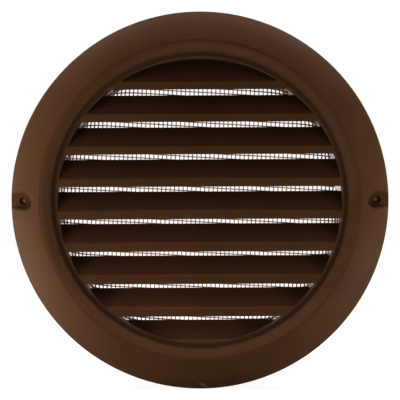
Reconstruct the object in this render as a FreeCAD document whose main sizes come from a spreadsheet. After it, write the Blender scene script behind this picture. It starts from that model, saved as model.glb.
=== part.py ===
import FreeCAD, Part
import math
import os

import Sketcher

# Round louvre vent cover: one moulded grille with a duct spigot, and the insect screen behind its blades.
# The disc stands in the XZ plane with +Z up and its front faces -Y. The wall it is fixed to is the plane Y = 0.
# Heights are measured forward from that wall, so a height is minus Y. All sizes are in mm and degrees.

DIMS = {
    # Flange, from the rim inward
    "face_diameter": 150.0,
    "rim_height": 2.2,
    "edge_round": 1.0,
    "crown_round": 22.0,
    "shoulder_height": 7.9,
    "crease_width": 0.45,
    "crease_depth": 0.16,
    "lip_width": 4.4,
    "crest_round": 3.2,
    "lip_slope": 30.0,
    "mouth_width": 0.75,
    "mouth_slope": 60.0,
    "lip_drop": 0.49,
    "ledge_width": 2.0,
    "flange_wall": 2.0,
    # Duct spigot
    "spigot_diameter": 117.2,
    "spigot_wall": 2.0,
    "spigot_length": 30.0,
    "spigot_lead": 1.0,
    # Louvre blades
    "first_drop": 12.76,
    "blade_pitch": 12.85,
    "blade_depth": 7.85,
    "blade_angle": 45.0,
    "nose_height": 3.16,
    "nose_round": 0.5,
    "drip_flat": 0.5,
    "web_height": 1.8,
    # Screw pockets
    "screw_inset": 5.0,
    "pocket_floor_width": 5.4,
    "pocket_draft": 20.0,
    "boss_width": 11.6,
    "pilot_diameter": 3.3,
    "pilot_skin": 1.0,
    # Insect screen
    "screen_thickness": 0.5,
    "screen_clearance": 0.2,
    "skirt_width": 6.4,
    "skirt_angle": 36.0,
    "screen_margin": 2.4,
    "gap_pitch": 8.4,
    "gap_web": 1.4,
}

# Radii, heights and places that several features share, as expressions of the sheet
RIM = "(Dims.face_diameter / 2)"
SPIGOT = "(Dims.spigot_diameter / 2)"
BORE = f"({SPIGOT} - Dims.spigot_wall)"
TRIM = f"({SPIGOT} - Dims.spigot_wall / 2)"
MOUTH = f"({BORE} + Dims.ledge_width)"
CREST = f"({MOUTH} + Dims.lip_width)"
SHOULDER = f"({CREST} + Dims.crease_width)"
LIP_SLOPE = "(Dims.lip_slope * 1deg)"
LIP_TOP = f"({CREST} - Dims.crest_round * sin{LIP_SLOPE})"
LIP_TOP_HEIGHT = f"(Dims.shoulder_height - Dims.crest_round * (1 - cos{LIP_SLOPE}))"
LIP_FOOT = f"({MOUTH} + Dims.mouth_width)"
LIP_FOOT_HEIGHT = f"({LIP_TOP_HEIGHT} - ({LIP_TOP} - {LIP_FOOT}) * tan{LIP_SLOPE})"
MOUTH_HEIGHT = f"({LIP_FOOT_HEIGHT} - Dims.mouth_width * tan(Dims.mouth_slope * 1deg))"
LEDGE_HEIGHT = f"({MOUTH_HEIGHT} - Dims.lip_drop)"
BLADE_BACK = f"(Dims.blade_depth - {LEDGE_HEIGHT})"
BLADE_SLOPE = "tan(Dims.blade_angle * 1deg)"
BLADE_RISE = f"(Dims.blade_depth * {BLADE_SLOPE})"
FIRST_NOSE = f"({BORE} - Dims.first_drop)"
FIRST_NOSE_TOP = f"({FIRST_NOSE} + Dims.nose_height)"
SCREW = f"({RIM} - Dims.screw_inset)"
SCREEN_EDGE = f"({BORE} - Dims.screen_clearance)"
ON_AXIS = None

doc = FreeCAD.newDocument("vent_cover")


def make_sheet():
    """Put the driving dimensions in a sheet, one row each."""
    sheet = doc.addObject("Spreadsheet::Sheet", "Dims")
    for row, (alias, value) in enumerate(DIMS.items(), start=1):
        sheet.set(f"A{row}", alias)
        sheet.set(f"B{row}", str(value))
        sheet.setAlias(f"B{row}", alias)
    doc.recompute()
    return sheet


def number(owner, expression):
    """The value of an expression of the sheet, as a plain number."""
    if expression is ON_AXIS:
        return 0.0
    value = owner.evalExpression(expression)
    return float(getattr(value, "Value", value))


def origin_feature(body, role):
    return next(item for item in body.Origin.OriginFeatures if item.Role == role)


def new_body(label):
    body = doc.addObject("PartDesign::Body", label)
    body.Label = label
    body.AllowCompound = True
    return body


def new_sketch(body, name, plane, lift=None):
    """A sketch on one of the body's own planes, raised along that plane's normal by the expression lift."""
    sketch = body.newObject("Sketcher::SketchObject", name)
    sketch.AttachmentSupport = [(origin_feature(body, plane), "")]
    sketch.MapMode = "FlatFace"
    if lift:
        sketch.setExpression("AttachmentOffset.Base.z", lift)
    doc.recompute()
    return sketch


def pin_point(sketch, geometry, end, across, up):
    """Hold one end of a line or arc at a place that the sheet gives."""
    axis_of_zero = {"DistanceX": -2, "DistanceY": -1}
    for kind, expression in (("DistanceX", across), ("DistanceY", up)):
        if expression is ON_AXIS:
            sketch.addConstraint(Sketcher.Constraint("PointOnObject", geometry, end, axis_of_zero[kind]))
            continue
        value = number(sketch, expression)
        index = sketch.addConstraint(Sketcher.Constraint(kind, -1, 1, geometry, end, value))
        sketch.setExpression(f"Constraints[{index}]", expression)


def arc_between(start, end, radius, turn):
    """The short arc from start to end. turn is 1 where it bends to the left of its way and -1 to the right."""
    chord = end - start
    left = FreeCAD.Vector(-chord.y, chord.x, 0).normalize()
    reach = math.sqrt(max(radius**2 - chord.Length**2 / 4, 0.0))
    centre = (start + end) / 2 + left * turn * reach
    return Part.Arc(start, centre - left * turn * radius, end)


def draw_outline(sketch, corners):
    """Draw a closed outline. A corner is (across, up), or (across, up, radius, turn) where an arc leads to it."""
    points = [FreeCAD.Vector(number(sketch, c[0]), number(sketch, c[1]), 0) for c in corners]
    drawn = []
    for i, corner in enumerate(corners):
        start, end = points[i - 1], points[i]
        if len(corner) == 2:
            geometry = sketch.addGeometry(Part.LineSegment(start, end))
            first, last = 1, 2
        else:
            radius = number(sketch, corner[2])
            geometry = sketch.addGeometry(arc_between(start, end, radius, corner[3]))
            first, last = (1, 2) if corner[3] > 0 else (2, 1)
        drawn.append((geometry, first, last))
    for i, (geometry, first, last) in enumerate(drawn):
        before, _, before_last = drawn[i - 1]
        sketch.addConstraint(Sketcher.Constraint("Coincident", before, before_last, geometry, first))
    for corner, (geometry, first, last) in zip(corners, drawn):
        pin_point(sketch, geometry, last, corner[0], corner[1])
        if len(corner) == 4:
            value = number(sketch, corner[2])
            index = sketch.addConstraint(Sketcher.Constraint("Radius", geometry, value))
            sketch.setExpression(f"Constraints[{index}]", corner[2])
    doc.recompute()


def draw_rectangle(sketch, left, right, low, high):
    draw_outline(sketch, [(left, low), (right, low), (right, high), (left, high)])


def pad_both_ways(body, name, sketch, length):
    pad = body.newObject("PartDesign::Pad", name)
    pad.Profile = sketch
    pad.SideType = "Symmetric"
    pad.setExpression("Length", length)
    doc.recompute()
    return pad


def pocket(body, name, sketch, length=None, forward=False, draft=None):
    """Cut a sketch away from its plane: backward, or forward to the front. With no length it goes right through."""
    cut = body.newObject("PartDesign::Pocket", name)
    cut.Profile = sketch
    cut.Reversed = forward
    if length:
        cut.setExpression("Length", length)
    else:
        cut.Type = "ThroughAll"
    if draft:
        cut.setExpression("TaperAngle", draft)
    doc.recompute()
    return cut


def revolve(body, kind, name, sketch, angle=None):
    """Turn a sketch about the Y axis, all the way round or by an angle that lies half on each side of it."""
    turned = body.newObject(f"PartDesign::{kind}", name)
    turned.Profile = sketch
    turned.ReferenceAxis = (origin_feature(body, "Y_Axis"), [""])
    turned.Angle = 360.0
    if angle:
        turned.Midplane = True
        turned.setExpression("Angle", angle)
    doc.recompute()
    return turned


def add_blades(body):
    """Sloped blades, level along X. Their noses lie in the ledge's plane and the top one reaches the spigot's wall."""
    nose = f"-{LEDGE_HEIGHT}"
    turn = "(45deg - Dims.blade_angle * 1deg / 2)"
    tangent = f"(Dims.nose_round * tan({turn}))"
    section = new_sketch(body, "BladeSection", "YZ_Plane")
    draw_outline(
        section,
        [
            (nose, FIRST_NOSE),
            (f"{nose} + Dims.drip_flat", FIRST_NOSE),
            (BLADE_BACK, f"{FIRST_NOSE} + {BLADE_RISE} - Dims.drip_flat * {BLADE_SLOPE}"),
            (BLADE_BACK, f"{FIRST_NOSE_TOP} + {BLADE_RISE}"),
            (
                f"{nose} + {tangent} * cos(Dims.blade_angle * 1deg)",
                f"{FIRST_NOSE_TOP} + {tangent} * sin(Dims.blade_angle * 1deg)",
            ),
            (nose, f"{FIRST_NOSE_TOP} - {tangent}", "Dims.nose_round", 1),
        ],
    )
    blade = pad_both_ways(body, "Blade", section, "Dims.spigot_diameter")

    blades = body.newObject("PartDesign::LinearPattern", "Blades")
    blades.Originals = [blade]
    blades.Direction = (origin_feature(body, "Z_Axis"), [""])
    blades.Reversed = True
    blades.Mode = "Spacing"
    blades.setExpression("Offset", "Dims.blade_pitch")
    blades.setExpression("Occurrences", f"floor(({FIRST_NOSE_TOP} + {BORE}) / Dims.blade_pitch) + 1")
    body.Tip = blades
    doc.recompute()

    # The top blade's face runs on to the wall of the spigot as a thinner web
    web_start = f"({BLADE_BACK} - Dims.flange_wall)"
    web_start_top = f"({FIRST_NOSE_TOP} + {BLADE_RISE} - Dims.flange_wall * {BLADE_SLOPE})"
    web_end = f"({web_start} + ({SPIGOT} - {web_start_top}) / {BLADE_SLOPE})"
    web = new_sketch(body, "TopWebSection", "YZ_Plane")
    draw_outline(
        web,
        [
            (web_start, f"{web_start_top} - Dims.web_height"),
            (web_end, f"{SPIGOT} - Dims.web_height"),
            (web_end, SPIGOT),
            (web_start, web_start_top),
        ],
    )
    pad_both_ways(body, "TopWeb", web, "Dims.spigot_diameter")

    # The blades end inside the wall of the spigot
    outside = new_sketch(body, "BladeTrim", "XY_Plane")
    draw_rectangle(outside, TRIM, "Dims.spigot_diameter", "-Dims.shoulder_height", "Dims.spigot_length")
    revolve(body, "Groove", "BladeEnds", outside)


def add_ring(body):
    """Flange, rolled lip, ledge and spigot: one wall, turned about the duct's axis."""
    section = new_sketch(body, "RingSection", "XY_Plane")
    draw_outline(
        section,
        [
            (RIM, ON_AXIS),
            (RIM, "-Dims.rim_height"),
            (SHOULDER, "-Dims.shoulder_height", "Dims.crown_round", -1),
            (f"{CREST} + Dims.crease_width / 2", "-(Dims.shoulder_height - Dims.crease_depth)"),
            (CREST, "-Dims.shoulder_height"),
            (LIP_TOP, f"-{LIP_TOP_HEIGHT}", "Dims.crest_round", -1),
            (LIP_FOOT, f"-{LIP_FOOT_HEIGHT}"),
            (MOUTH, f"-{MOUTH_HEIGHT}"),
            (MOUTH, f"-{LEDGE_HEIGHT}"),
            (BORE, f"-{LEDGE_HEIGHT}"),
            (BORE, "Dims.spigot_length"),
            (f"{SPIGOT} - Dims.spigot_lead", "Dims.spigot_length"),
            (SPIGOT, "Dims.spigot_length - Dims.spigot_lead"),
            (SPIGOT, f"-({LEDGE_HEIGHT} - Dims.flange_wall)"),
            (CREST, "-(Dims.shoulder_height - Dims.flange_wall)"),
            (
                f"{RIM} - Dims.flange_wall",
                "-(Dims.rim_height - Dims.flange_wall / 2)",
                "Dims.crown_round - Dims.flange_wall",
                1,
            ),
            (f"{RIM} - Dims.flange_wall", ON_AXIS),
        ],
    )
    ring = revolve(body, "Revolution", "Ring", section)

    rim = number(ring, RIM)
    rim_height = number(ring, "Dims.rim_height")
    edge_names = [
        f"Edge{i}"
        for i, edge in enumerate(ring.Shape.Edges, start=1)
        if isinstance(edge.Curve, Part.Circle)
        and math.isclose(edge.Curve.Radius, rim, abs_tol=1e-6)
        and math.isclose(edge.Curve.Center.y, -rim_height, abs_tol=1e-6)
    ]
    edge = body.newObject("PartDesign::Fillet", "RimEdge")
    edge.Base = (ring, edge_names)
    edge.setExpression("Radius", "Dims.edge_round")
    doc.recompute()


def add_screw_pockets(body):
    """Two drafted pockets that open at the rim, each with a boss behind it and a blind pilot for a screw."""
    section = new_sketch(body, "BossSection", "XY_Plane")
    inner = f"({SCREW} - Dims.boss_width / 2)"
    outer = f"({RIM} - Dims.flange_wall / 2)"
    draw_outline(
        section,
        [
            (inner, ON_AXIS),
            (outer, ON_AXIS),
            (outer, "-(Dims.rim_height - Dims.flange_wall / 4)"),
            (
                inner,
                "-(Dims.shoulder_height - Dims.flange_wall / 2)",
                "Dims.crown_round - Dims.flange_wall / 2",
                -1,
            ),
        ],
    )
    boss = revolve(body, "Revolution", "Boss", section, f"2 * asin(Dims.boss_width / 2 / {SCREW})")

    half = "(Dims.pocket_floor_width / 2)"
    past_rim = f"({RIM} + Dims.screw_inset)"
    floor = new_sketch(body, "PocketFloor", "XZ_Plane", "Dims.rim_height")
    draw_outline(
        floor,
        [
            (past_rim, f"-{half}"),
            (past_rim, half),
            (SCREW, half),
            (f"{SCREW} - {half}", ON_AXIS, half, 1),
            (SCREW, f"-{half}", half, 1),
        ],
    )
    recess = pocket(body, "Recess", floor, "Dims.shoulder_height", forward=True, draft="Dims.pocket_draft")

    circle = new_sketch(body, "PilotCircle", "XZ_Plane", "Dims.rim_height")
    centre = FreeCAD.Vector(number(circle, SCREW), 0, 0)
    radius = number(circle, "Dims.pilot_diameter / 2")
    geometry = circle.addGeometry(Part.Circle(centre, FreeCAD.Vector(0, 0, 1), radius))
    pin_point(circle, geometry, 3, SCREW, ON_AXIS)
    index = circle.addConstraint(Sketcher.Constraint("Diameter", geometry, 2 * radius))
    circle.setExpression(f"Constraints[{index}]", "Dims.pilot_diameter")
    pilot = pocket(body, "Pilot", circle, "Dims.rim_height - Dims.pilot_skin")

    pair = body.newObject("PartDesign::PolarPattern", "ScrewPockets")
    pair.Originals = [boss, recess, pilot]
    pair.Axis = (origin_feature(body, "Y_Axis"), [""])
    pair.Angle = 360.0
    pair.Occurrences = 2
    body.Tip = pair
    doc.recompute()


def make_grille_body():
    body = new_body("grille_body")
    add_blades(body)
    add_ring(body)
    add_screw_pockets(body)
    return body


def make_insect_screen():
    """A disc of screen against the backs of the blades. Its edge is bent backward toward the spigot's wall."""
    body = new_body("insect_screen")
    front = BLADE_BACK
    back = f"({front} + Dims.screen_thickness)"
    slope = "(Dims.skirt_angle * 1deg)"
    flat = f"({SCREEN_EDGE} - Dims.skirt_width)"
    edge = f"({front} + Dims.skirt_width * tan{slope})"
    section = new_sketch(body, "ScreenSection", "XY_Plane")
    draw_outline(
        section,
        [
            (ON_AXIS, front),
            (flat, front),
            (SCREEN_EDGE, edge),
            (
                f"{SCREEN_EDGE} - Dims.screen_thickness * sin{slope}",
                f"{edge} + Dims.screen_thickness * cos{slope}",
            ),
            (f"{flat} - Dims.screen_thickness * tan({slope} / 2)", back),
            (ON_AXIS, back),
        ],
    )
    revolve(body, "Revolution", "Disc", section)

    # Rows of square gaps, in pairs above and below the middle, each row as long as the disc allows
    pitch = number(section, "Dims.gap_pitch")
    web = number(section, "Dims.gap_web")
    field = number(section, f"{SCREEN_EDGE} - Dims.screen_margin")
    row = 0
    while (row + 1) * pitch - web / 2 < field:
        half_chord = math.sqrt(field**2 - ((row + 1) * pitch - web / 2) ** 2)
        half_count = int((half_chord + web / 2) / pitch)
        if half_count > 0:
            add_gap_rows(body, row, 2 * half_count)
        row += 1
    return body


def add_gap_rows(body, row, count):
    """One row of gaps below the middle and the same row above it."""
    left = f"(-{count} * Dims.gap_pitch / 2 + Dims.gap_web / 2)"
    low = f"({row} * Dims.gap_pitch + Dims.gap_web / 2)"
    side = "(Dims.gap_pitch - Dims.gap_web)"
    squares = new_sketch(body, f"GapPair{row}", "XZ_Plane")
    draw_rectangle(squares, left, f"{left} + {side}", low, f"{low} + {side}")
    draw_rectangle(squares, left, f"{left} + {side}", f"-({low} + {side})", f"-{low}")
    gaps = pocket(body, f"GapCut{row}", squares)
    rows = body.newObject("PartDesign::LinearPattern", f"GapRows{row}")
    rows.Originals = [gaps]
    rows.Direction = (origin_feature(body, "X_Axis"), [""])
    rows.Mode = "Spacing"
    rows.setExpression("Offset", "Dims.gap_pitch")
    rows.Occurrences = count
    body.Tip = rows
    doc.recompute()


def check(bodies):
    """Stop if a feature failed, a cut took nothing away, or a body isn't one valid solid."""
    for item in doc.Objects:
        if "Invalid" in item.State or "Error" in item.State:
            raise RuntimeError(f"{item.Name} failed: {item.State}")
        if item.TypeId in ("PartDesign::Pocket", "PartDesign::Groove"):
            if item.Shape.Volume >= item.BaseFeature.Shape.Volume:
                raise RuntimeError(f"{item.Name} cuts nothing")
    for body in bodies:
        shape = body.Shape
        if shape.isNull() or not shape.isValid() or len(shape.Solids) != 1:
            raise RuntimeError(f"{body.Label} is not one valid solid")


make_sheet()
bodies = [make_grille_body(), make_insect_screen()]
doc.recompute()
check(bodies)
os.makedirs("parts", exist_ok=True)
for body in bodies:
    body.Shape.exportStep(f"parts/{body.Label}.step")
    print(body.Label, "volume", round(body.Shape.Volume, 1), "mm3")
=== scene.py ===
import math
import random

import bpy
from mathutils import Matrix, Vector, noise


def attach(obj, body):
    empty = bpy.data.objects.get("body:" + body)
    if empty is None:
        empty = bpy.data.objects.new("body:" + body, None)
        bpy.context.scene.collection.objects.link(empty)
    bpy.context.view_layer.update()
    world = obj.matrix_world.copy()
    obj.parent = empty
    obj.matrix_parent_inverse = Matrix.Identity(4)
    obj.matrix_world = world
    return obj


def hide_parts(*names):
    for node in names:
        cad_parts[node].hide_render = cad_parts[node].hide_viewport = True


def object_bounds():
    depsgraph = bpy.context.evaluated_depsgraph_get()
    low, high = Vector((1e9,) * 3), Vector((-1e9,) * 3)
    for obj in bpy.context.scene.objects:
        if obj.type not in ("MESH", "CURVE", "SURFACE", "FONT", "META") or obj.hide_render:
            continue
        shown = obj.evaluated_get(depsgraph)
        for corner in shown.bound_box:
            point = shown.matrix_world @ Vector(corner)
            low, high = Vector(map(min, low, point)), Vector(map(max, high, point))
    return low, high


# Round louvre vent cover, seen straight on. Metres, front faces -Y, +Z is up, the wall plane is Y = 0.

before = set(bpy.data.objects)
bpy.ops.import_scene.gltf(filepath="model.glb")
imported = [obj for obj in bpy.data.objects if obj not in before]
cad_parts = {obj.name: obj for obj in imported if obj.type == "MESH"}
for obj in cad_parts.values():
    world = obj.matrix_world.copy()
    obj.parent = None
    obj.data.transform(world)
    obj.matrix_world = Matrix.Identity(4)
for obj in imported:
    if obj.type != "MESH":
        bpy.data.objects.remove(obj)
cad_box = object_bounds()
MM = 0.001

# Camera, from the photograph's outline and the parallax between the rim and the blades
VIEW_DISTANCE = 0.6165
VIEW_LENS = 139.1
VIEW_SENSOR = 36.0
VIEW_ROLL = math.radians(0.27)

# Insect screen: a square weave, turned a little, pressed against the backs of the blades
WEAVE_PITCH = 1.733 * MM
WEFT_FALL = 0.062
WARP_LEAN = 0.030
WEFT_START = -0.12 * MM
WARP_START = 0.03 * MM
WIRE_RADIUS = 0.285 * MM
WIRE_SIDES = 4
CRIMP = 0.15 * MM
SCREEN_Y = 3.78 * MM

# The weave is pulled a little out of true, in slow swells that are finer with a larger scale
PULL = 0.16 * MM
PULL_SCALE = 32.0
PULL_SEED = 7

# Edge of the screen, pressed back round a curve into the spigot
DISH_START = 46.97 * MM
DISH_ROUND = 12.0 * MM
DISH_TURN = math.radians(50)

# Cut of the screen: how far it reaches when flat, and the waves in it (depth, number round the edge, start)
CUT_RADIUS = 58.4 * MM
CUT_WAVES = ((0.35 * MM, 5, 0.6), (0.25 * MM, 11, 2.1))

# At the right the cut falls short
SHORT_DEPTH = 4.4 * MM
SHORT_PLACE = math.radians(11)
SHORT_SPREAD = math.radians(9)

# Loose ends past the last crossing, in half pitches, and wires tried past the cut's reach
TAIL_SHORTEST = 0.3
TAIL_LONGEST = 1.2
TAIL_SEED = 7
SPARE_WIRES = 3

# Coated fibre of the screen, which lets warm light through
WIRE_DARK = (0.48, 0.185, 0.035, 1)
WIRE_LIGHT = (0.67, 0.280, 0.060, 1)
WIRE_DARK_TO = 0.35
WIRE_LIGHT_FROM = 0.70
WIRE_STREAKS = {"scale": 900.0, "detail": 2.0, "roughness": 0.5}
WIRE_BUMP = 0.3
WIRE_BUMP_DEPTH = 0.04 * MM
WIRE_FINISH = {
    "Roughness": 0.5,
    "Specular IOR Level": 0.2,
    "Subsurface Weight": 1.0,
    "Subsurface Radius": (1.0, 0.6, 0.35),
    "Subsurface Scale": 0.8 * MM,
}

# Plastic: two shades that drift into each other, uneven gloss, a fine grain and softened edges
PLASTIC_DARK = (0.0664, 0.0270, 0.0101, 1)
PLASTIC_LIGHT = (0.0827, 0.0342, 0.0132, 1)
PLASTIC_DARK_TO = 0.30
PLASTIC_LIGHT_FROM = 0.72
DRIFT = {"scale": 38.0, "detail": 3.0, "roughness": 0.55}
GLOSS = {"scale": 210.0, "detail": 4.0, "roughness": 0.6}
GRAIN = {"scale": 2600.0, "detail": 2.0, "roughness": 0.5}
ROUGH_LEAST = 0.44
ROUGH_MOST = 0.58
SHEEN = 0.05
GRAIN_BUMP = 0.22
GRAIN_DEPTH = 0.06 * MM
EDGE_ROUND = 0.45 * MM
EDGE_SAMPLES = 6

# Bore of the spigot behind the blades: smoother, and lighter in colour as a painted reflection, where it
# shines at the ends of the slots
BORE_RADIUS = 56.6 * MM
BORE_BAND = 0.2 * MM
BLADE_BACK = 3.2 * MM
BORE_PAINTED_SHINE_COLOUR = (0.20, 0.095, 0.030, 1)
BORE_SHEEN = 0.5
BORE_SMOOTH = -0.36

# Painted light and shade on the front: a painted highlight on the ledge's inner edge, painted shade on the
# ledge, and painted light that lifts the shadow in the crease round the lip
EDGE_HIGHLIGHT_COLOUR = (0.085, 0.043, 0.021, 1)
LEDGE_RADIUS = 57.95 * MM
LEDGE_BAND = 1.15 * MM
LEDGE_SHADE_COLOUR = (0.054, 0.0215, 0.0080, 1)
CREASE_RADIUS = 63.22 * MM
CREASE_BAND = 0.28 * MM
CREASE_FILL_LIGHT_COLOUR = (0.090, 0.0375, 0.0145, 1)
RING_BACK = -3.5 * MM

# Painted highlight on the middle of each screw pilot's floor
PILOT_PLACE = 70.0 * MM
DIMPLE_RADIUS = 0.6 * MM
DIMPLE_BACK = -0.3 * MM
PILOT_HIGHLIGHT_COLOUR = (0.26, 0.13, 0.065, 1)

# Scuff at the bottom of the rim, where the mould's gate was
SCUFF_PLACE = (0.7 * MM, -2.6 * MM, -73.2 * MM)
SCUFF_TURN = math.radians(25)
SCUFF_SIZE = (2.6 * MM, 3.0 * MM, 0.7 * MM)
SCUFF_COLOUR = (0.30, 0.17, 0.10, 1)

# Floor, and the bright wall behind the grille, which is brighter to reflections
FLOOR_HALF = 3.0
FLOOR_COLOUR = (0.20, 0.20, 0.20, 1)
FLOOR_GLOW = 0.90
WALL_GLOW = 0.715
WALL_BLEND = 0.02
WALL_GLOSS = 0.4
WHITE = (1, 1, 1, 1)

# Places of the colour sockets on a mix node, which has sockets of the same names for other kinds of value
MIX_FACTOR = 0
MIX_FIRST = 6
MIX_SECOND = 7
MIX_RESULT = 2

# Lights: name, angle round the face (0 right, 90 up), lift off the wall plane, distance, size, watts.
# Angle and lift are in degrees.
LIGHTS = (
    ("top_right", 60, 2, 1.2, 0.14, 7.4),
    ("top", 90, 2, 1.2, 0.14, 3.6),
    ("top_left", 120, 2, 1.2, 0.14, 6.1),
    ("left", 180, 2, 1.2, 0.14, 2.67),
    ("left_low", 210, 2, 1.2, 0.14, 2.64),
    ("left_front", 210, 38, 1.0, 0.50, 0.825),
    ("top_front", 90, 32, 0.35, 0.14, 0.095),
    ("left_near", 205, 19.7, 0.149, 0.08, 0.172),
    ("right_near", 335, 19.7, 0.149, 0.08, 0.106),
    ("left_upper_near", 155, 35, 0.13, 0.08, 0.0209),
    ("right_upper_near", 25, 35, 0.13, 0.08, 0.0105),
)


def new_material(name):
    material = bpy.data.materials.new(name)
    material.use_nodes = True
    tree = material.node_tree
    shader = tree.nodes["Principled BSDF"]
    return material, tree, shader


def add(tree, kind, **values):
    """A node with its sockets and settings filled in. Underscores in a socket's name stand for spaces."""
    node = tree.nodes.new(kind)
    for key, value in values.items():
        socket = node.inputs.get(key.replace("_", " "))
        if socket is not None:
            socket.default_value = value
        else:
            setattr(node, key, value)
    return node


def calc(tree, operation, *values, kind="ShaderNodeMath", result="Value"):
    """A socket with a math node's result. Each value is a number, a vector or another node's socket."""
    node = add(tree, kind, operation=operation)
    for socket, value in zip(node.inputs, values):
        if isinstance(value, bpy.types.NodeSocket):
            tree.links.new(value, socket)
        else:
            socket.default_value = value
    return node.outputs[result]


def calc_vector(tree, operation, *values):
    """The same, with a vector for its result."""
    return calc(tree, operation, *values, kind="ShaderNodeVectorMath", result="Vector")


def blotches(tree, place, scale, detail, roughness):
    """A socket with noise that changes over the surface, finer with a larger scale."""
    node = add(tree, "ShaderNodeTexNoise", Scale=scale, Detail=detail, Roughness=roughness)
    tree.links.new(place, node.inputs["Vector"])
    return node.outputs["Fac"]


def two_tone(tree, amount, dark, dark_to, light, light_from):
    """A colour socket that is dark up to one amount, light from another, and blended between."""
    ramp = add(tree, "ShaderNodeValToRGB")
    low, high = ramp.color_ramp.elements
    low.position = dark_to
    low.color = dark
    high.position = light_from
    high.color = light
    tree.links.new(amount, ramp.inputs["Fac"])
    return ramp.outputs["Color"]


def tinted(tree, mask, before, colour):
    """The colour socket before, with a plain colour where the mask is 1."""
    mix = add(tree, "ShaderNodeMix", data_type="RGBA")
    tree.links.new(mask, mix.inputs[MIX_FACTOR])
    tree.links.new(before, mix.inputs[MIX_FIRST])
    mix.inputs[MIX_SECOND].default_value = colour
    return mix.outputs[MIX_RESULT]


def distance_from_axis(tree, place):
    """A socket with each point's distance from the duct's axis."""
    flat = calc_vector(tree, "MULTIPLY", place, (1, 0, 1))
    return calc(tree, "LENGTH", flat, kind="ShaderNodeVectorMath")


def beyond(tree, place, side, limit):
    """A socket that is 1 where Y is LESS_THAN or GREATER_THAN the limit, and 0 elsewhere."""
    axes = add(tree, "ShaderNodeSeparateXYZ")
    tree.links.new(place, axes.inputs["Vector"])
    return calc(tree, side, axes.outputs["Y"], limit)


def ring_mask(tree, place, radius, band, side, limit):
    """A socket that is 1 within the band of a radius, where Y is past the limit, and 0 elsewhere."""
    ring = calc(tree, "COMPARE", distance_from_axis(tree, place), radius, band)
    return calc(tree, "MULTIPLY", ring, beyond(tree, place, side, limit))


def pilot_highlight_mask(tree, place):
    """A socket that is 1 on the painted highlight in the middle of each screw pilot's floor, and 0
    elsewhere.
    """
    folded = calc_vector(tree, "ABSOLUTE", place)
    moved = calc_vector(tree, "SUBTRACT", folded, (PILOT_PLACE, 0, 0))
    spot = calc(tree, "LESS_THAN", distance_from_axis(tree, moved), DIMPLE_RADIUS)
    return calc(tree, "MULTIPLY", spot, beyond(tree, place, "LESS_THAN", DIMPLE_BACK))


def scuff_mask(tree, place):
    """A socket that is 1 in the middle of the short slanting scuff and falls to 0 at its edge."""
    spot = add(tree, "ShaderNodeMapping", vector_type="TEXTURE")
    spot.inputs["Location"].default_value = SCUFF_PLACE
    spot.inputs["Rotation"].default_value = (0, SCUFF_TURN, 0)
    spot.inputs["Scale"].default_value = SCUFF_SIZE
    tree.links.new(place, spot.inputs["Vector"])
    ball = add(tree, "ShaderNodeTexGradient", gradient_type="SPHERICAL")
    tree.links.new(spot.outputs["Vector"], ball.inputs["Vector"])
    return ball.outputs["Fac"]


def brown_plastic():
    """Satin moulded plastic: slow colour drift, a fine grain, soft edges and uneven gloss."""
    material, tree, shader = new_material("brown_plastic")
    link = tree.links.new
    place = add(tree, "ShaderNodeTexCoord").outputs["Object"]
    bore = ring_mask(tree, place, BORE_RADIUS, BORE_BAND, "GREATER_THAN", BLADE_BACK)
    edge = ring_mask(tree, place, BORE_RADIUS, BORE_BAND, "LESS_THAN", BLADE_BACK)
    crease = ring_mask(tree, place, CREASE_RADIUS, CREASE_BAND, "LESS_THAN", RING_BACK)
    ledge = ring_mask(tree, place, LEDGE_RADIUS, LEDGE_BAND, "LESS_THAN", RING_BACK)

    drift = blotches(tree, place, **DRIFT)
    colour = two_tone(tree, drift, PLASTIC_DARK, PLASTIC_DARK_TO, PLASTIC_LIGHT, PLASTIC_LIGHT_FROM)
    colour = tinted(tree, scuff_mask(tree, place), colour, SCUFF_COLOUR)
    # Painted highlight along the ledge's inner edge
    colour = tinted(tree, edge, colour, EDGE_HIGHLIGHT_COLOUR)
    # Painted light that lifts the shadow in the crease round the lip
    colour = tinted(tree, crease, colour, CREASE_FILL_LIGHT_COLOUR)
    # Painted shade on the ledge, where the lip shades it
    colour = tinted(tree, ledge, colour, LEDGE_SHADE_COLOUR)
    # Painted highlight on the middle of each screw pilot
    colour = tinted(tree, pilot_highlight_mask(tree, place), colour, PILOT_HIGHLIGHT_COLOUR)
    # Lighter bore: painted reflection for where it shines at the ends of the slots
    colour = tinted(tree, bore, colour, BORE_PAINTED_SHINE_COLOUR)
    link(colour, shader.inputs["Base Color"])

    spread = add(tree, "ShaderNodeMapRange", To_Min=ROUGH_LEAST, To_Max=ROUGH_MOST)
    link(blotches(tree, place, **GLOSS), spread.inputs["Value"])
    rough = calc(tree, "MULTIPLY_ADD", bore, BORE_SMOOTH, spread.outputs["Result"])
    link(rough, shader.inputs["Roughness"])
    sheen = calc(tree, "MULTIPLY_ADD", bore, BORE_SHEEN - SHEEN, SHEEN)
    link(sheen, shader.inputs["Specular IOR Level"])

    edges = add(tree, "ShaderNodeBevel", samples=EDGE_SAMPLES, Radius=EDGE_ROUND)
    bump = add(tree, "ShaderNodeBump", Strength=GRAIN_BUMP, Distance=GRAIN_DEPTH)
    link(blotches(tree, place, **GRAIN), bump.inputs["Height"])
    link(edges.outputs["Normal"], bump.inputs["Normal"])
    link(bump.outputs["Normal"], shader.inputs["Normal"])
    return material


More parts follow.
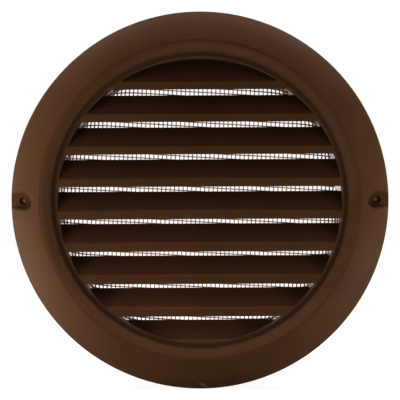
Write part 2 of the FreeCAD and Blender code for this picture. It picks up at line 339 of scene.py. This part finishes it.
def screen_wire():
    """Brown coated fibre, a little uneven in colour along each wire, which glows against the light."""
    material, tree, shader = new_material("screen_wire")
    link = tree.links.new
    place = add(tree, "ShaderNodeTexCoord").outputs["Object"]
    streaks = blotches(tree, place, **WIRE_STREAKS)
    colour = two_tone(tree, streaks, WIRE_DARK, WIRE_DARK_TO, WIRE_LIGHT, WIRE_LIGHT_FROM)
    link(colour, shader.inputs["Base Color"])
    bump = add(tree, "ShaderNodeBump", Strength=WIRE_BUMP, Distance=WIRE_BUMP_DEPTH)
    link(streaks, bump.inputs["Height"])
    link(bump.outputs["Normal"], shader.inputs["Normal"])
    for socket, value in WIRE_FINISH.items():
        shader.inputs[socket].default_value = value
    return material


def dished(across, up):
    """Where a point of the flat screen lies once its edge is pressed back, and the way it faces there."""
    reach = math.hypot(across, up)
    if reach <= DISH_START:
        return Vector((across, SCREEN_Y, up)), Vector((0, -1, 0))
    turn = min((reach - DISH_START) / DISH_ROUND, DISH_TURN)
    past = reach - DISH_START - turn * DISH_ROUND
    radius = DISH_START + DISH_ROUND * math.sin(turn)
    out = Vector((across / reach, 0, up / reach))
    point = out * radius
    point.y = SCREEN_Y + DISH_ROUND * (1 - math.cos(turn)) + past
    facing = out * math.sin(turn)
    facing.y = -math.cos(turn)
    return point, facing


def cut_reach(angle):
    """How far the hand-cut screen reaches when flat, at an angle from the right-hand side."""
    waves = sum(depth * math.sin(number * angle + start) for depth, number, start in CUT_WAVES)
    short = SHORT_DEPTH * math.exp(-(((angle - SHORT_PLACE) / SHORT_SPREAD) ** 2))
    return CUT_RADIUS + waves - short


def weave_crossing(weft, warp):
    """Crossing of two wires in the flat screen, drawn a little out of true as a weave is."""
    height = WEFT_START + weft * WEAVE_PITCH
    start = WARP_START + warp * WEAVE_PITCH
    across = (start + WARP_LEAN * height) / (1 + WARP_LEAN * WEFT_FALL)
    up = height - WEFT_FALL * across
    pull = noise.noise_vector(Vector((across, up, 0.0)) * PULL_SCALE)
    return across + pull.x * PULL, up + pull.y * PULL


def wire_crossings(is_weft, wire, span):
    """One wire's crossings inside the cut: a place in the flat screen, and 1 for over or -1 for under."""
    run = []
    for other in span:
        weft, warp = (wire, other) if is_weft else (other, wire)
        across, up = weave_crossing(weft, warp)
        if math.hypot(across, up) < cut_reach(math.atan2(up, across)):
            over = 1 if (wire + other) % 2 == int(is_weft) else -1
            run.append((across, up, over))
    return run


def with_tails(run, tails):
    """The crossings, a level point between each two, and a loose end of chance length at both ends."""
    flat = []
    for before, after in zip(run, run[1:]):
        flat.append(before)
        flat.append(((before[0] + after[0]) / 2, (before[1] + after[1]) / 2, 0))
    flat.append(run[-1])
    for end, near in ((0, 1), (-1, -2)):
        tail = tails.uniform(TAIL_SHORTEST, TAIL_LONGEST)
        step = [flat[end][k] + (flat[end][k] - flat[near][k]) * tail for k in (0, 1)]
        flat.insert(0 if end == 0 else len(flat), (step[0], step[1], 0))
    return flat


def add_tube(points, facings, verts, faces):
    """A wire along the points, closed at both ends."""
    base = len(verts)
    last = len(points) - 1
    for i, point in enumerate(points):
        way = points[min(i + 1, last)] - points[max(i - 1, 0)]
        side = way.cross(facings[i]).normalized()
        lift = side.cross(way).normalized()
        for k in range(WIRE_SIDES):
            turn = (k + 0.5) * 2 * math.pi / WIRE_SIDES
            verts.append(point + (side * math.cos(turn) + lift * math.sin(turn)) * WIRE_RADIUS)
    for i in range(last):
        ring = base + WIRE_SIDES * i
        for k in range(WIRE_SIDES):
            a = ring + k
            b = ring + (k + 1) % WIRE_SIDES
            faces.append((a, b, b + WIRE_SIDES, a + WIRE_SIDES))
    faces.append(tuple(base + k for k in reversed(range(WIRE_SIDES))))
    faces.append(tuple(base + WIRE_SIDES * last + k for k in range(WIRE_SIDES)))


def woven_screen():
    """Every wire of the insect screen, woven over and under, as one mesh."""
    count = int(CUT_RADIUS / WEAVE_PITCH) + SPARE_WIRES
    span = range(-count, count + 1)
    tails = random.Random(TAIL_SEED)
    noise.seed_set(PULL_SEED)
    verts, faces = [], []
    for is_weft in (True, False):
        for wire in span:
            run = wire_crossings(is_weft, wire, span)
            if len(run) < 2:
                continue
            points, facings = [], []
            for across, up, over in with_tails(run, tails):
                point, facing = dished(across, up)
                points.append(point + facing * over * CRIMP)
                facings.append(facing)
            add_tube(points, facings, verts, faces)
    mesh = bpy.data.meshes.new("woven_screen")
    mesh.from_pydata(verts, [], faces)
    mesh.polygons.foreach_set("use_smooth", [True] * len(mesh.polygons))
    mesh.update()
    screen = bpy.data.objects.new("woven_screen", mesh)
    bpy.context.scene.collection.objects.link(screen)
    return screen


def floor_material():
    """Grey, with a glow that only the camera sees, so that it looks white with a soft shadow."""
    material = bpy.data.materials.new("floor")
    material.use_nodes = True
    tree = material.node_tree
    tree.nodes.clear()
    link = tree.links.new
    paths = add(tree, "ShaderNodeLightPath")
    diffuse = add(tree, "ShaderNodeBsdfDiffuse", Color=FLOOR_COLOUR)
    glow = add(tree, "ShaderNodeEmission", Color=WHITE)
    link(calc(tree, "MULTIPLY", paths.outputs["Is Camera Ray"], FLOOR_GLOW), glow.inputs["Strength"])
    both = add(tree, "ShaderNodeAddShader")
    link(diffuse.outputs["BSDF"], both.inputs[0])
    link(glow.outputs["Emission"], both.inputs[1])
    output = add(tree, "ShaderNodeOutputMaterial")
    link(both.outputs["Shader"], output.inputs["Surface"])
    return material


def add_floor():
    """A floor under the rim."""
    low = cad_box[0].z
    corners = [(x * FLOOR_HALF, y * FLOOR_HALF, low) for x, y in ((-1, -1), (1, -1), (1, 1), (-1, 1))]
    mesh = bpy.data.meshes.new("floor")
    mesh.from_pydata(corners, [], [(0, 1, 2, 3)])
    mesh.materials.append(floor_material())
    floor = bpy.data.objects.new("floor", mesh)
    floor.visible_shadow = False
    bpy.context.scene.collection.objects.link(floor)
    return floor


def add_world():
    """White to the camera. A bright wall behind the object lights it, and the room in front is dark."""
    world = bpy.data.worlds.new("studio")
    bpy.context.scene.world = world
    world.use_nodes = True
    tree = world.node_tree
    tree.nodes.clear()
    link = tree.links.new
    place = add(tree, "ShaderNodeTexCoord")
    axes = add(tree, "ShaderNodeSeparateXYZ")
    link(place.outputs["Generated"], axes.inputs["Vector"])
    wall = add(tree, "ShaderNodeMapRange", From_Min=-WALL_BLEND, From_Max=WALL_BLEND, To_Max=WALL_GLOW)
    link(axes.outputs["Y"], wall.inputs["Value"])
    paths = add(tree, "ShaderNodeLightPath")
    gloss = calc(tree, "MULTIPLY_ADD", paths.outputs["Is Glossy Ray"], WALL_GLOSS, 1.0)
    behind = calc(tree, "MULTIPLY", wall.outputs["Result"], gloss)
    level = calc(tree, "MAXIMUM", paths.outputs["Is Camera Ray"], behind)
    background = add(tree, "ShaderNodeBackground", Color=WHITE)
    link(level, background.inputs["Strength"])
    output = add(tree, "ShaderNodeOutputWorld")
    link(background.outputs["Background"], output.inputs["Surface"])


def add_light(name, angle, lift, distance, size, watts):
    """A square soft box that faces the middle of the grille."""
    turn, rise = math.radians(angle), math.radians(lift)
    way = Vector((math.cos(turn) * math.cos(rise), -math.sin(rise), math.sin(turn) * math.cos(rise)))
    lamp = bpy.data.lights.new(name, "AREA")
    lamp.shape = "SQUARE"
    lamp.size = size
    lamp.energy = watts
    light = bpy.data.objects.new(name, lamp)
    light.location = way * distance
    light.rotation_euler = (-way).to_track_quat("-Z", "Y").to_euler()
    light.visible_camera = False
    bpy.context.scene.collection.objects.link(light)


def add_camera():
    lens = bpy.data.cameras.new("camera")
    lens.lens = VIEW_LENS
    lens.sensor_width = VIEW_SENSOR
    camera = bpy.data.objects.new("camera", lens)
    camera.location = (0, -VIEW_DISTANCE, 0)
    camera.rotation_euler = (math.pi / 2, VIEW_ROLL, 0)
    bpy.context.scene.collection.objects.link(camera)
    bpy.context.scene.camera = camera


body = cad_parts["grille_body"]
body.data.materials.clear()
body.data.materials.append(brown_plastic())

screen = woven_screen()
screen.data.materials.append(screen_wire())
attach(screen, "root")
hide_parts("insect_screen")

add_floor()
add_world()
for light in LIGHTS:
    add_light(*light)
add_camera()

scene = bpy.context.scene
scene.view_settings.view_transform = "Standard"
